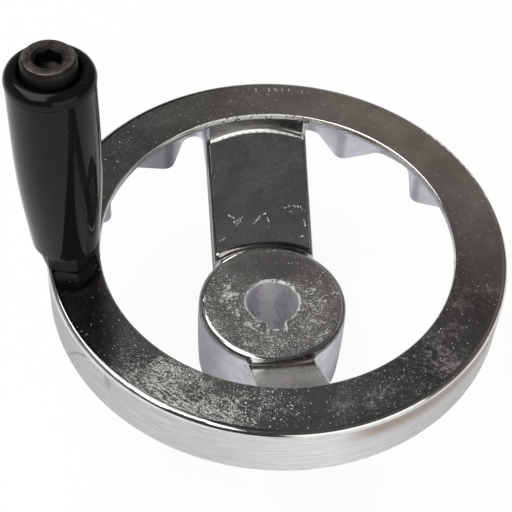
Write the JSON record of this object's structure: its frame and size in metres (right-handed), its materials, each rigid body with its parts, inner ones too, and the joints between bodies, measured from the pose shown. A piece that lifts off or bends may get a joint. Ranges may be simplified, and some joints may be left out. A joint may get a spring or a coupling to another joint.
{
  "type": "machine handwheel",
  "caption": "Dished spoked machine handwheel with a flat polished rim, finger grips under the rim, a keyed hub and a revolving handle standing on the rim.",
  "frame": {"origin": "centre of the bore at the hub's back face, on which the wheel stands", "axes": "+Z along the bore's axis towards the operator and the handle, +Y along the wide spoke, the handle at -X"},
  "size_m": [0.1301, 0.125, 0.1239],
  "materials": {
    "cast_aluminium": "cast, with polished top faces and a brushed outer wall",
    "black_steel": "black oxide, worn at the head's edge",
    "nut_steel": "black oxide",
    "grip_plastic": "glossy black",
    "ring_plastic": "glossy black"
  },
  "bodies": {
    "wheel_body": {"wheel": "cast_aluminium", "handle_screw": "black_steel", "lock_nut": "nut_steel"},
    "grip_body": {"grip": "grip_plastic", "end_ring": "ring_plastic"}
  },
  "joints": [
    {"name": "grip_spin", "type": "hinge", "parent": "wheel_body", "child": "grip_body", "pos_m": [-0.05675, 0, 0.0885], "axis": [0, 0, 1], "continuous": true}
  ]
}
